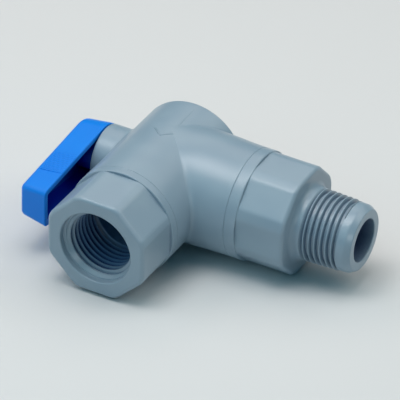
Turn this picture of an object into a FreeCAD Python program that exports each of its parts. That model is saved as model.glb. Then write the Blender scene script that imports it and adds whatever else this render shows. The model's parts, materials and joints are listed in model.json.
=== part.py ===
import FreeCAD, Part
import math
import os
from FreeCAD import Rotation, Vector

# Quarter-turn angle valve in moulded plastic, millimetres.
# The outlet and the stem share the X axis, the inlet lies along -Y, and the lever rests over the inlet.
# Pieces are drawn about the ball's centre and moved at the end, so that the origin is the inlet's face.

# flow passage and ball
portRadius = 6.45
ballRadius = 11.5
ballRoom = 0.45  # ball to the chamber's wall
runningGap = 0.05  # turning shaft in its bore, and faces that rub
slipGap = 0.1  # pieces pushed or screwed into each other
mitreGap = 0.25  # inlet side and outlet side where they meet at 45 degrees

# body
ledgeWidth = 1.45  # step from the chamber to the bores that take the connectors
barrelWall = 3.1
inletSeam = 24.6  # ball's centre to the joint with the inlet connector
outletSeam = 26.4
rearReach = 14.5
swellReach = 10.0  # where the outlet barrel is widest
outletSwell = 0.35
outletInset = 0.2  # outlet barrel smaller than the inlet barrel at its joint
seamBevel = 0.3
rearBevel = 0.4

# stem boss
bossRadius = 9.25
bossReach = 20.8
stopHeight = 2.0
stopWidth = 1.0
stopAngle = 26.0
stopPlace = 180.0  # lever's stop, opposite its arm
turnAngle = 90.0

# connectors
inletGrip = 17.6  # joint to the inlet's face
outletGrip = 18.1  # joint to the outlet's shoulder
inletCollar = 2.6  # round band beside the joint
outletCollar = 3.4
flatDepth = 1.1  # barrel surface down to a flat
landStep = 0.25  # barrel surface down to the strips between the flats
flatCount = 8
collarRound = 0.5
faceBevel = 0.7
inletThreadRadius = 9.25
inletThreadLength = 13.8
counterboreRadius = 11.2
counterboreDepth = 2.0
threadEntry = 1.5  # bevel that leads into the inlet's thread
pilotRadius = 9.6  # plain bore behind the inlet's thread
pilotSetback = 3.9  # seat's back to the end of the plain bore
reliefSetback = 2.4  # seat's back to where the outlet's bore narrows
neckRadius = 10.75
neckLength = 2.2
neckFillet = 1.6
outletThreadRadius = 10.5
outletThreadLength = 11.6
leadLength = 4.2
endRadius = 9.6
endRound = 0.8

# seats and round seals
seatSetback = 3.2  # ball's side to the seat's front edge
noseWall = 1.1  # nose round a seat
seatBore = 0.4  # seat's bore wider than the port
rearSaving = 0.6  # how much thinner the rear seat is
seatFit = 0.03  # seat's hollow to the ball
seatRingSetback = 1.6  # seat's outside to its seal's middle
seatRingSection = 1.2
bodyRingSection = 1.6
bodyRingSetback = 3.0  # joint to the seal's middle
ringSlack = 0.04

# stem
stemRadius = 4.95
flangeRadius = 6.4
flangeRoom = 0.5
flangeSetback = 0.7  # ball's top to the flange
flangeThickness = 2.15
washerThickness = 0.8
stemRingSection = 1.25
stemRingSpacing = 2.4
stemRingSetback = 1.8  # boss end to the outer seal's middle
tangWidth = 3.9
tangLength = 10.4
tangDepth = 3.0  # tang's reach into the ball
squareSize = 6.4
squareStart = 0.4  # boss end to the square
squareLength = 3.9

# lever
leverGap = 0.5  # boss end to the lever's rim
leverDepth = 8.7
leverHead = 8.2  # radius of the head at the outer face
leverTip = 32.4  # stem's axis to the end of the outer face
leverHalf = 5.05  # half the height of the end, at the outer face
leverFlare = 1.05  # how much wider everything is at the rim
leverCorner = 1.4
leverInnerCorner = 0.4
leverEdge = 1.1
leverWall = 1.8
leverRoof = 2.0
hubRadius = 5.6
hubGap = 1.1  # boss end to the hub
hubRoom = 0.3  # hub to the body's stops
stopReach = 0.7  # boss end to the lever's stop
stopGap = 0.1
recessRadius = 4.6
recessDepth = 3.4

# lever's screw
screwRadius = 1.95
screwHeadRadius = 3.6
screwHeadHeight = 2.0
screwLength = 8.2
screwDome = 0.6
socketSize = 2.5
socketDepth = 1.1
flatWasherRadius = 4.2
flatWasherThickness = 0.5
springWasherRadius = 3.4
springWasherThickness = 0.7
springWasherSlot = 0.5

# places that follow from the sizes above
chamberRadius = ballRadius + ballRoom
noseRadius = chamberRadius - slipGap
seatBack = noseRadius + mitreGap
rearSeatBack = seatBack - rearSaving
seatInner = portRadius + seatBore
seatFront = ballRadius - seatSetback
noseRim = noseRadius - noseWall
noseReach = noseRim + mitreGap
pocketRadius = noseRim - slipGap / 2
seatOuter = pocketRadius - slipGap
seatRingPitch = seatOuter - seatRingSetback
pilotEnd = seatBack + pilotSetback
reliefEnd = seatBack + reliefSetback
bodyBore = chamberRadius + ledgeWidth
spigotRadius = bodyBore - slipGap
ledgeReach = spigotRadius + 2 * mitreGap
barrelRadius = bodyBore + barrelWall
outletBarrelRadius = barrelRadius - outletInset
landRadius = barrelRadius - landStep
flatReach = barrelRadius - flatDepth
inletReach = inletSeam + inletGrip
outletShoulder = outletSeam + outletGrip
threadStart = outletShoulder + neckLength
threadEnd = threadStart + outletThreadLength
outletReach = threadEnd + leadLength
flangeFace = ballRadius + flangeSetback
flangeBack = flangeFace + flangeThickness
washerFace = flangeBack + runningGap
stemShoulder = washerFace + washerThickness
stemBore = stemRadius + runningGap
flangeChamber = flangeRadius + flangeRoom
squareFoot = bossReach + squareStart
stemEnd = squareFoot + squareLength
outerStemRing = bossReach - stemRingSetback
innerStemRing = outerStemRing - stemRingSpacing
rimPlane = bossReach + leverGap
outerPlane = rimPlane + leverDepth
recessFloor = outerPlane - recessDepth
hubEnd = bossReach + hubGap
stopInner = hubRadius + hubRoom
stopOuter = stopInner + stopWidth
screwSeat = recessFloor + flatWasherThickness + springWasherThickness


def lathe(points):
    """Solid turned about the X axis from (distance along X, radius) points."""
    corners = [Vector(along, radius, 0) for along, radius in points]
    face = Part.Face(Part.makePolygon(corners + corners[:1]))
    return face.revolve(Vector(), Vector(1, 0, 0), 360)


def rod(radius, start, end):
    return Part.makeCylinder(radius, end - start, Vector(start, 0, 0), Vector(1, 0, 0))


def tube(outer, inner, start, end):
    return rod(outer, start, end).cut(rod(inner, start, end))


def block(start, end, wide, high):
    """Bar along X, centred on the axis."""
    corner = Vector(start, -wide / 2, -high / 2)
    return Part.makeBox(end - start, wide, high, corner)


def ring(pitch, section, at):
    """Round seal about the X axis."""
    radius = section / 2 - ringSlack
    return Part.makeTorus(pitch, radius, Vector(at, 0, 0), Vector(1, 0, 0))


def prism(sides, across, start, end):
    """Regular prism along X with its flats square to the Y and Z axes."""
    corner = across / 2 / math.cos(math.pi / sides)
    turns = [math.pi * (2 * side + 1) / sides for side in range(sides)]
    points = [Vector(start, corner * math.cos(turn), corner * math.sin(turn)) for turn in turns]
    face = Part.Face(Part.makePolygon(points + points[:1]))
    return face.extrude(Vector(end - start, 0, 0))


def sector(inner, outer, start, end, middle, width):
    """Piece of a ring about X; its middle is turned from +Y towards +Z."""
    corners = [Vector(along, radius, 0) for along, radius in
               ((start, inner), (start, outer), (end, outer), (end, inner))]
    face = Part.Face(Part.makePolygon(corners + corners[:1]))
    face.rotate(Vector(), Vector(1, 0, 0), middle - width / 2)
    return face.revolve(Vector(), Vector(1, 0, 0), width)


def circleEdges(shape, along, radius):
    """Full circles about X at one place and radius."""
    found = []
    for edge in shape.Edges:
        curve = edge.Curve
        if isinstance(curve, Part.Circle) and abs(curve.Radius - radius) < 1e-4:
            if (curve.Center - Vector(along, 0, 0)).Length < 1e-4:
                found.append(edge)
    return found


def toInlet(shape):
    shape.rotate(Vector(), Vector(0, 0, 1), -90)
    return shape


def toRear(shape):
    shape.rotate(Vector(), Vector(0, 0, 1), 90)
    return shape


def toStem(shape):
    shape.rotate(Vector(), Vector(0, 0, 1), 180)
    return shape


def outletBarrel():
    """Drafted barrel that swells a little where it meets the ball chamber."""
    return lathe([
        (0, 0),
        (0, barrelRadius),
        (swellReach, barrelRadius + outletSwell),
        (outletSeam - seamBevel, outletBarrelRadius),
        (outletSeam, outletBarrelRadius - seamBevel),
        (outletSeam, 0),
    ])


def inletBarrel():
    """Straight barrel, open at the inlet and closed at the rear."""
    return toInlet(lathe([
        (-rearReach, 0),
        (-rearReach, barrelRadius - rearBevel),
        (rearBevel - rearReach, barrelRadius),
        (inletSeam - seamBevel, barrelRadius),
        (inletSeam, barrelRadius - seamBevel),
        (inletSeam, 0),
    ]))


def stemBoss():
    """Plain boss round the stem, with two stops on its end, a quarter turn of the lever's stop apart."""
    boss = rod(bossRadius, 0, bossReach)
    play = math.degrees(stopGap / stopInner)
    closedSide = stopPlace + turnAngle + stopAngle + play
    openSide = stopPlace - stopAngle - play
    for middle in (openSide, closedSide):
        boss = boss.fuse(sector(stopInner, stopOuter, bossReach, bossReach + stopHeight, middle, stopAngle))
    return toStem(boss)


def seatPocket(back):
    """Flat-bottomed pocket for a seat, with the groove for its seal."""
    groove = tube(
        seatRingPitch + seatRingSection / 2,
        seatRingPitch - seatRingSection / 2,
        back,
        back + seatRingSection,
    )
    return rod(pocketRadius, 0, back).fuse(groove)


def connectorBore(seam):
    """Space in the body for the chamber, a connector's nose and its spigot."""
    return rod(chamberRadius, 0, ledgeReach).fuse(rod(bodyBore, ledgeReach, seam))


def makeBody():
    boss = stemBoss()
    barrels = inletBarrel().fuse(Part.makeSphere(barrelRadius)).fuse(outletBarrel())
    body = barrels.fuse(boss).removeSplitter()
    body = body.cut(Part.makeSphere(chamberRadius))
    body = body.cut(connectorBore(outletSeam))
    body = body.cut(toInlet(connectorBore(inletSeam)))
    body = body.cut(toRear(seatPocket(rearSeatBack)))
    body = body.cut(toStem(rod(flangeChamber, 0, stemShoulder)))
    return body.cut(toStem(rod(stemBore, 0, bossReach)))


def gripFlats(start, end):
    """What is cut away to leave the flats on a connector."""
    waste = rod(barrelRadius + barrelWall, start, end)
    return waste.cut(prism(flatCount, 2 * flatReach, start, end))


def noseProfile(seam):
    """Outline of the part of a connector that goes into the body, from its tip to the joint."""
    return [
        (noseReach, noseRim),
        (seatBack, noseRadius),
        (ledgeReach + slipGap, noseRadius),
        (ledgeReach + slipGap, spigotRadius),
        (seam, spigotRadius),
    ]


def bodyRingGroove(seam):
    middle = seam - bodyRingSetback
    floor = spigotRadius - bodyRingSection
    return tube(spigotRadius + slipGap, floor, middle - bodyRingSection / 2, middle + bodyRingSection / 2)


def cutSeatEnd(connector, seam):
    connector = connector.cut(seatPocket(seatBack))
    return connector.cut(bodyRingGroove(seam))


def makeInletConnector():
    landStart = inletSeam + inletCollar
    outline = noseProfile(inletSeam) + [
        (inletSeam, barrelRadius - seamBevel),
        (inletSeam + seamBevel, barrelRadius),
        (landStart - collarRound, barrelRadius),
        (landStart, landRadius),
        (inletReach - faceBevel, landRadius),
        (inletReach, landRadius - faceBevel),
    ]
    threadFront = inletReach - counterboreDepth
    threadBack = threadFront - inletThreadLength
    inside = [
        (inletReach, counterboreRadius),
        (threadFront, counterboreRadius),
        (threadFront, inletThreadRadius + threadEntry),
        (threadFront - threadEntry, inletThreadRadius),
        (threadBack, inletThreadRadius),
        (threadBack, pilotRadius),
        (pilotEnd, pilotRadius),
        (pilotEnd - (pilotRadius - seatInner), seatInner),
        (noseReach, seatInner),
    ]
    connector = lathe(outline + inside)
    grip = rod(2 * barrelRadius, 0, landStart).fuse(facedPrism(landStart, inletReach))
    connector = connector.common(grip)
    return toInlet(cutSeatEnd(connector, inletSeam))


def facedPrism(start, end):
    """Eight-sided bar whose outer end is bevelled all round."""
    flats = prism(flatCount, 2 * flatReach, start, end)
    edges = [edge for edge in flats.Edges if all(abs(v.X - end) < 1e-6 for v in edge.Vertexes)]
    return flats.makeChamfer(faceBevel, edges)


def makeOutletConnector():
    landStart = outletSeam + outletCollar
    outline = noseProfile(outletSeam) + [
        (outletSeam, outletBarrelRadius - seamBevel),
        (outletSeam + seamBevel, outletBarrelRadius),
        (landStart - collarRound, outletBarrelRadius),
        (landStart, landRadius - outletInset),
        (outletShoulder, landRadius - outletInset),
        (outletShoulder, neckRadius),
        (threadStart, neckRadius),
        (threadStart, outletThreadRadius),
        (threadEnd, outletThreadRadius),
        (outletReach, endRadius),
        (outletReach, portRadius),
        (reliefEnd, portRadius),
        (reliefEnd, seatInner),
        (noseReach, seatInner),
    ]
    connector = lathe(outline)
    connector = connector.cut(gripFlats(landStart, outletShoulder))
    connector = connector.makeFillet(neckFillet, circleEdges(connector, outletShoulder, neckRadius))
    connector = connector.makeFillet(endRound, circleEdges(connector, outletReach, endRadius))
    return cutSeatEnd(connector, outletSeam)


def makeBall():
    """Ball with an L-shaped way through it and a slot for the stem's tang."""
    ball = Part.makeSphere(ballRadius)
    ball = ball.cut(rod(portRadius, 0, ballRadius))
    ball = ball.cut(toInlet(rod(portRadius, 0, ballRadius)))
    ball = ball.cut(Part.makeSphere(portRadius))
    slotFloor = flangeFace - flangeSetback - tangDepth - slipGap
    slot = block(slotFloor, ballRadius, tangWidth + 2 * slipGap, 2 * ballRadius)
    return ball.cut(toStem(slot))


def makeSeat(back):
    """Seat ring, hollowed to the ball and bevelled to clear its neighbour."""
    seat = lathe([
        (seatFront, seatInner),
        (seatFront, seatFront - mitreGap),
        (seatOuter + mitreGap, seatOuter),
        (back, seatOuter),
        (back, seatInner),
    ])
    return seat.cut(Part.makeSphere(ballRadius + seatFit))


def makeSeatRing(back):
    return ring(seatRingPitch, seatRingSection, back + seatRingSection / 2)


def makeBodyRing(seam):
    return ring(spigotRadius - bodyRingSection / 2, bodyRingSection, seam - bodyRingSetback)


def makeStem():
    tangEnd = ballRadius - tangDepth
    stem = block(tangEnd, flangeFace, tangWidth, tangLength)
    stem = stem.fuse(rod(flangeRadius, flangeFace, flangeBack))
    stem = stem.fuse(rod(stemRadius, flangeBack, squareFoot))
    stem = stem.fuse(block(squareFoot, stemEnd, squareSize, squareSize))
    floor = stemRadius - stemRingSection
    for middle in (innerStemRing, outerStemRing):
        half = stemRingSection / 2 + slipGap
        stem = stem.cut(tube(stemRadius + slipGap, floor, middle - half, middle + half))
    hole = rod(screwRadius + runningGap, screwSeat - screwLength - slipGap, stemEnd)
    return toStem(stem.cut(hole))


def makeStemRing(middle):
    return toStem(ring(stemRadius - stemRingSection / 2, stemRingSection, middle))


def makeThrustWasher():
    return toStem(tube(flangeRadius + slipGap, stemRadius + slipGap, washerFace, stemShoulder))


def roundCorner(before, corner, after, reach):
    """Arc tangent to both sides of a corner, starting and ending at one distance from it."""
    start = corner + (before - corner).normalize() * reach
    end = corner + (after - corner).normalize() * reach
    inward = (start + end) / 2 - corner
    half = math.acos(inward.Length / reach)
    bend = corner + inward.normalize() * reach * (1 - math.sin(half)) / math.cos(half)
    return Part.Arc(start, bend, end)


def leverOutline(along, inset):
    """Round head and straight, tapering sides to a square end, at one distance from the ball's centre."""
    flare = leverFlare * (outerPlane - along) / leverDepth - inset
    head = leverHead + flare
    corner = Vector(along, leverTip + flare, leverHalf + flare)
    reach = math.hypot(corner.y, corner.z)
    turn = math.atan2(corner.z, corner.y) + math.acos(head / reach)
    touch = Vector(along, head * math.cos(turn), head * math.sin(turn))
    rounding = max(leverCorner - inset, leverInnerCorner)
    mirror = [Vector(point.x, point.y, -point.z) for point in (touch, corner)]
    upper = roundCorner(touch, corner, mirror[1], rounding)
    lower = roundCorner(corner, mirror[1], mirror[0], rounding)
    edges = [
        Part.LineSegment(touch, upper.StartPoint),
        upper,
        Part.LineSegment(upper.EndPoint, lower.StartPoint),
        lower,
        Part.LineSegment(lower.EndPoint, mirror[0]),
        Part.Arc(mirror[0], Vector(along, -head, 0), touch),
    ]
    return Part.Wire([edge.toShape() for edge in edges])


def makeHandle():
    """Hollow lever with a round head, a hub with a square socket, and a stop inside the head."""
    shell = Part.makeLoft([leverOutline(rimPlane, 0), leverOutline(outerPlane, 0)], True, True)
    rimEdges = [e for e in shell.Edges if all(abs(v.X - outerPlane) < 1e-6 for v in e.Vertexes)]
    shell = shell.makeFillet(leverEdge, rimEdges)
    roof = outerPlane - leverRoof
    hollow = Part.makeLoft([leverOutline(rimPlane, leverWall), leverOutline(roof, leverWall)], True, True)
    handle = shell.cut(hollow)
    handle = handle.fuse(rod(hubRadius, hubEnd, roof))
    stopWall = leverHead + leverFlare - leverWall / 2
    stop = sector(hubRadius - slipGap, stopWall, bossReach + stopReach, roof, stopPlace, stopAngle)
    handle = handle.fuse(stop).removeSplitter()
    handle = handle.cut(block(0, stemEnd + slipGap, squareSize + 2 * runningGap, squareSize + 2 * runningGap))
    handle = handle.cut(rod(recessRadius, recessFloor, outerPlane))
    handle = handle.cut(rod(screwRadius + slipGap, stemEnd, recessFloor))
    # the lever was drawn along +Y on the outlet's side, so a half turn brings it over the inlet
    return toStem(handle)


def makeFlatWasher():
    end = recessFloor + flatWasherThickness
    return toStem(tube(flatWasherRadius, screwRadius + slipGap, recessFloor, end))


def makeSpringWasher():
    start = recessFloor + flatWasherThickness
    washer = tube(springWasherRadius, screwRadius + slipGap, start, screwSeat)
    slot = Part.makeBox(springWasherThickness, springWasherSlot, springWasherRadius, Vector(start, 0, 0))
    return toStem(washer.cut(slot))


def makeScrew():
    top = screwSeat + screwHeadHeight
    head = rod(screwHeadRadius, screwSeat, top)
    head = head.makeFillet(screwDome, circleEdges(head, top, screwHeadRadius))
    screw = head.fuse(rod(screwRadius, screwSeat - screwLength, screwSeat))
    return toStem(screw.cut(prism(6, socketSize, top - socketDepth, top)))


nodes = {
    "valve_body": makeBody(),
    "inlet_connector": makeInletConnector(),
    "outlet_connector": makeOutletConnector(),
    "ball": makeBall(),
    "stem": makeStem(),
    "handle": makeHandle(),
    "inlet_seat": toInlet(makeSeat(seatBack)),
    "outlet_seat": makeSeat(seatBack),
    "rear_seat": toRear(makeSeat(rearSeatBack)),
    "inlet_seat_oring": toInlet(makeSeatRing(seatBack)),
    "outlet_seat_oring": makeSeatRing(seatBack),
    "rear_seat_oring": toRear(makeSeatRing(rearSeatBack)),
    "inlet_body_oring": toInlet(makeBodyRing(inletSeam)),
    "outlet_body_oring": makeBodyRing(outletSeam),
    "stem_oring_inner": makeStemRing(innerStemRing),
    "stem_oring_outer": makeStemRing(outerStemRing),
    "stem_thrust_washer": makeThrustWasher(),
    "handle_flat_washer": makeFlatWasher(),
    "handle_spring_washer": makeSpringWasher(),
    "handle_screw": makeScrew(),
}

os.makedirs("parts", exist_ok=True)
for name, shape in nodes.items():
    shape.translate(Vector(0, inletReach, 0))
    shape.exportStep("parts/" + name + ".step")
    box = shape.BoundBox
    spans = [(box.XMin, box.XMax), (box.YMin, box.YMax), (box.ZMin, box.ZMax)]
    text = " ".join(f"{low:.2f}..{high:.2f}" for low, high in spans)
    print(f"{name}: {len(shape.Solids)} solid, {shape.Volume:.1f} mm3, valid {shape.isValid()}, {text}")
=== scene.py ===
import bmesh
import bpy
import json
import math
from mathutils import Matrix, Vector


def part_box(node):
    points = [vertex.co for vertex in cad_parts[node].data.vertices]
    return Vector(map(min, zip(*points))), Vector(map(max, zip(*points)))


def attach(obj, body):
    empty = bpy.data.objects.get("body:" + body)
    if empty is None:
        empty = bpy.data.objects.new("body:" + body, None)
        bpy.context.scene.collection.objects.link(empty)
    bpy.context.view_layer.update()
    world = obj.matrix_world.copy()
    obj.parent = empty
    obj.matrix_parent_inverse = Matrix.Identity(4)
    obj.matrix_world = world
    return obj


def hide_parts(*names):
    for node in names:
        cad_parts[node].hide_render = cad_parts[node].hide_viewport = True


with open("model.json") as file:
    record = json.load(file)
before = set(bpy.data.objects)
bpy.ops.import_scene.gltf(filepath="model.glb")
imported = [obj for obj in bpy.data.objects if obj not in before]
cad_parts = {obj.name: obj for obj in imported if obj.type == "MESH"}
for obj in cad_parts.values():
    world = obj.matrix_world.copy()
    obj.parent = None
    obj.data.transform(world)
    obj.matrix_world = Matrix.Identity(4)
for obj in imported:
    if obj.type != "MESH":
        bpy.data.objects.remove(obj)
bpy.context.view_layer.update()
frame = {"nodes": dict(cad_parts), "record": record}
scene = bpy.context.scene
mm = 0.001
weldGap = 0.002  # points of a skin that lie nearer than this, in millimetres, become one
hold = 0.1  # an extra row this far past a rounded edge keeps what follows flat

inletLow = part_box("inlet_connector")[0]
outletLow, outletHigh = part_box("outlet_connector")
ballCentre = Vector((0, (outletLow.y + outletHigh.y) / 2, 0))  # the inlet runs along X = 0
print("frame loaded")


# Node helpers

def srgb(red, green, blue):
    def linear(value):
        value /= 255
        return value / 12.92 if value <= 0.04045 else ((value + 0.055) / 1.055) ** 2.4
    return (*(linear(value) for value in (red, green, blue)), 1)


def feed(tree, socket, value):
    if isinstance(value, bpy.types.NodeSocket):
        tree.links.new(value, socket)
    else:
        socket.default_value = value


def addNode(tree, kind, inputs=None, **settings):
    node = tree.nodes.new(kind)
    for name, value in settings.items():
        setattr(node, name, value)
    for name, value in (inputs or {}).items():
        feed(tree, node.inputs[name], value)
    return node


def calc(tree, operation, *values):
    node = addNode(tree, "ShaderNodeMath", operation=operation)
    for socket, value in zip(node.inputs, values):
        feed(tree, socket, value)
    return node.outputs[0]


def remap(tree, value, fromRange, toRange, interpolation="LINEAR"):
    node = addNode(tree, "ShaderNodeMapRange", interpolation_type=interpolation)
    for socket, item in zip(node.inputs, (value, *fromRange, *toRange)):
        feed(tree, socket, item)
    return node.outputs[0]


def mixColours(tree, share, first, second, blend="MIX"):
    inputs = {0: share, 6: first, 7: second}
    return addNode(tree, "ShaderNodeMix", inputs, data_type="RGBA", blend_type=blend).outputs[2]


def newGroup(name, kind, inputs, outputs):
    tree = bpy.data.node_groups.new(name, kind)
    for title, (socketKind, value) in inputs.items():
        socket = tree.interface.new_socket(title, in_out="INPUT", socket_type="NodeSocket" + socketKind)
        if value is not None:
            socket.default_value = value
    for title, socketKind in outputs.items():
        tree.interface.new_socket(title, in_out="OUTPUT", socket_type="NodeSocket" + socketKind)
    return tree, addNode(tree, "NodeGroupInput"), addNode(tree, "NodeGroupOutput")


def layOut(tree):
    # places each node to the right of what feeds it
    depth = {}

    def depthOf(node):
        if node not in depth:
            depth[node] = 0
            feeders = [link.from_node for socket in node.inputs for link in socket.links]
            depth[node] = 1 + max((depthOf(feeder) for feeder in feeders), default=-1)
        return depth[node]

    rows = {}
    for node in tree.nodes:
        column = depthOf(node)
        rows[column] = rows.get(column, 0) + 1
        node.location = (column * 220, -rows[column] * 190)


# Shared surface of moulded plastic: cloudy colour, fine grain and a few handling marks

plasticPattern = {
    "cloudRange": (0.35, 0.7),
    "glossRange": (0.3, 0.7),
    "scuffTurn": (0.3, 0.5, 0.8),
    "scuffStretch": (1.0, 9.0, 9.0),
    "scuffScale": 130.0,
    "scuffRange": (0.6, 0.72),
    "scuffColour": (0.75, 0.75, 0.75, 1),
    "scuffRoughness": 0.15,
}


def buildPlasticGroup(values):
    tree, given, result = newGroup("moulded plastic surface", "ShaderNodeTree", {
        "Color": ("Color", (0.5, 0.5, 0.5, 1)),
        "Cloud Color": ("Color", (0.5, 0.5, 0.5, 1)),
        "Cloud Size": ("Float", 0.008),
        "Grain Size": ("Float", 0.0003),
        "Grain Depth": ("Float", 0.00001),
        "Roughness": ("Float", 0.4),
        "Roughness Spread": ("Float", 0.08),
        "Marks": ("Float", 0.3),
        "Edge Normal": ("Vector", None),
    }, {"Color": "Color", "Roughness": "Float", "Normal": "Vector"})
    place = addNode(tree, "ShaderNodeTexCoord").outputs["Object"]
    take = given.outputs

    def noise(vector, scale, detail, roughness):
        return addNode(tree, "ShaderNodeTexNoise", {
            "Vector": vector, "Scale": scale, "Detail": detail, "Roughness": roughness,
        }).outputs["Fac"]

    clouds = noise(place, calc(tree, "DIVIDE", 1.0, take["Cloud Size"]), 1.0, 0.5)
    cloudShare = remap(tree, clouds, values["cloudRange"], (0.0, 1.0), "SMOOTHSTEP")
    clouded = mixColours(tree, cloudShare, take["Color"], take["Cloud Color"])
    stretched = addNode(tree, "ShaderNodeMapping", {
        "Vector": place, "Rotation": values["scuffTurn"], "Scale": values["scuffStretch"],
    }).outputs[0]
    scuffs = noise(stretched, values["scuffScale"], 3.0, 0.7)
    scuffMask = remap(tree, scuffs, values["scuffRange"], (0.0, 1.0), "SMOOTHSTEP")
    scuffMask = calc(tree, "MULTIPLY", scuffMask, take["Marks"])
    scuffed = mixColours(tree, scuffMask, clouded, values["scuffColour"], "SOFT_LIGHT")
    feed(tree, result.inputs["Color"], scuffed)
    lowest = calc(tree, "SUBTRACT", take["Roughness"], take["Roughness Spread"])
    highest = calc(tree, "ADD", take["Roughness"], take["Roughness Spread"])
    gloss = remap(tree, clouds, values["glossRange"], (lowest, highest))
    gloss = calc(tree, "ADD", gloss, calc(tree, "MULTIPLY", scuffMask, values["scuffRoughness"]))
    feed(tree, result.inputs["Roughness"], gloss)
    grain = noise(place, calc(tree, "DIVIDE", 1.0, take["Grain Size"]), 2.0, 0.6)
    bump = addNode(tree, "ShaderNodeBump", {
        "Height": grain, "Distance": take["Grain Depth"], "Normal": take["Edge Normal"],
    })
    feed(tree, result.inputs["Normal"], bump.outputs[0])
    layOut(tree)
    return tree


plasticGroup = buildPlasticGroup(plasticPattern)


def mouldedPlastic(name, values):
    material = bpy.data.materials.new(name)
    material.use_nodes = True
    tree = material.node_tree
    tree.nodes.clear()
    group = addNode(tree, "ShaderNodeGroup", node_tree=plasticGroup)
    for title, value in values.items():
        if title in group.inputs:
            group.inputs[title].default_value = value
    edges = addNode(tree, "ShaderNodeBevel", {"Radius": values["Edge"] * mm}, samples=6)
    feed(tree, group.inputs["Edge Normal"], edges.outputs[0])
    surface = group.outputs["Color"]
    if "Bore Tint" in values:
        # painted shade: the bore's colour goes darker and bluer with the distance from the inlet's face
        place = addNode(tree, "ShaderNodeTexCoord").outputs["Object"]
        depth = addNode(tree, "ShaderNodeSeparateXYZ", {0: place}).outputs["Y"]
        share = remap(tree, depth, values["Bore Depth"], (0.0, 1.0), "SMOOTHSTEP")
        surface = mixColours(tree, share, surface, values["Bore Tint"])
    # painted shade: hollows are darkened towards a shade colour, by how much of the nearby space is closed
    hollow = addNode(tree, "ShaderNodeAmbientOcclusion", {
        "Distance": values["Hollow Reach"],
    }, samples=8, only_local=True).outputs["AO"]
    openness = remap(tree, hollow, values["Hollow Range"], (values["Hollow Shade"], 1.0), "SMOOTHSTEP")
    shader = addNode(tree, "ShaderNodeBsdfPrincipled", {
        "Base Color": mixColours(tree, openness, values["Deep Color"], surface),
        "Roughness": group.outputs["Roughness"],
        "Normal": group.outputs["Normal"],
    })
    for title in ("Specular IOR Level", "Metallic"):
        if title in values:
            shader.inputs[title].default_value = values[title]
    addNode(tree, "ShaderNodeOutputMaterial", {"Surface": shader.outputs[0]})
    layOut(tree)
    return material


# Finishes: sizes, reaches and depths in metres, but the rounding of edges in millimetres

# in each finish the deep colour and the hollow values set the painted shade in hollows, grooves and bores
greyValues = {
    "Color": srgb(137, 158, 173),
    "Cloud Color": srgb(141, 162, 176),
    "Deep Color": srgb(0, 40, 110),
    "Edge": 0.25,
    "Cloud Size": 0.009,
    "Grain Size": 0.00028,
    "Grain Depth": 0.000003,
    "Roughness": 0.31,
    "Roughness Spread": 0.03,
    "Marks": 0.0,
    "Specular IOR Level": 0.6,
    "Hollow Reach": 0.007,
    "Hollow Range": (0.2, 0.7),
    "Hollow Shade": 0.05,
}
# the outlet's grey, with lighter painted shade in its thread's grooves
outletValues = {**greyValues, "Deep Color": srgb(6, 48, 96), "Hollow Shade": 0.4}
# the outlet's bore: the same grey with darker painted shade
outletBoreShadeValues = {
    **greyValues,
    "Deep Color": srgb(0, 40, 100),
    "Edge": 0.2,
    "Hollow Reach": 0.02,
    "Hollow Shade": 0.12,
}
# the inlet's bore: the same grey with painted shade that grows darker and bluer with depth
inletBoreShadeValues = {
    **greyValues,
    "Deep Color": srgb(0, 36, 104),
    "Edge": 0.2,
    "Hollow Range": (0.25, 0.55),
    "Bore Tint": srgb(98, 137, 177),
    "Bore Depth": (0.0025, 0.0095),
}
# the lever's inside is painted towards a deep blue shade
blueValues = {
    "Color": srgb(18, 127, 228),
    "Cloud Color": srgb(20, 131, 231),
    "Deep Color": srgb(0, 0, 160),
    "Edge": 0.2,
    "Cloud Size": 0.012,
    "Grain Size": 0.0003,
    "Grain Depth": 0.000003,
    "Roughness": 0.36,
    "Roughness Spread": 0.05,
    "Marks": 0.05,
    "Specular IOR Level": 0.2,
    "Hollow Reach": 0.016,
    "Hollow Range": (0.35, 0.9),
    "Hollow Shade": 0.0,
}
ribValues = {**blueValues, "Edge": 0.03}
ballValues = {
    **greyValues,
    "Color": srgb(150, 158, 164),
    "Cloud Color": srgb(144, 152, 160),
    "Deep Color": srgb(20, 50, 84),
    "Edge": 0.2,
    "Roughness": 0.24,
    "Roughness Spread": 0.04,
}
seatValues = {
    **greyValues,
    "Color": srgb(226, 226, 220),
    "Cloud Color": srgb(218, 219, 214),
    "Deep Color": srgb(60, 66, 70),
    "Edge": 0.2,
    "Grain Size": 0.0005,
    "Roughness": 0.5,
    "Marks": 0.1,
}
rubberValues = {
    **greyValues,
    "Color": srgb(24, 24, 26),
    "Cloud Color": srgb(30, 30, 32),
    "Deep Color": srgb(6, 6, 7),
    "Edge": 0.2,
    "Grain Size": 0.00015,
    "Grain Depth": 0.000008,
    "Roughness": 0.55,
}
steelValues = {
    "Color": srgb(176, 176, 174),
    "Cloud Color": srgb(164, 165, 166),
    "Deep Color": srgb(90, 90, 90),
    "Edge": 0.1,
    "Cloud Size": 0.003,
    "Grain Size": 0.0002,
    "Grain Depth": 0.000004,
    "Roughness": 0.28,
    "Roughness Spread": 0.08,
    "Marks": 0.5,
    "Metallic": 1.0,
    "Hollow Reach": 0.003,
    "Hollow Range": (0.25, 0.78),
    "Hollow Shade": 0.5,
}

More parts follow.
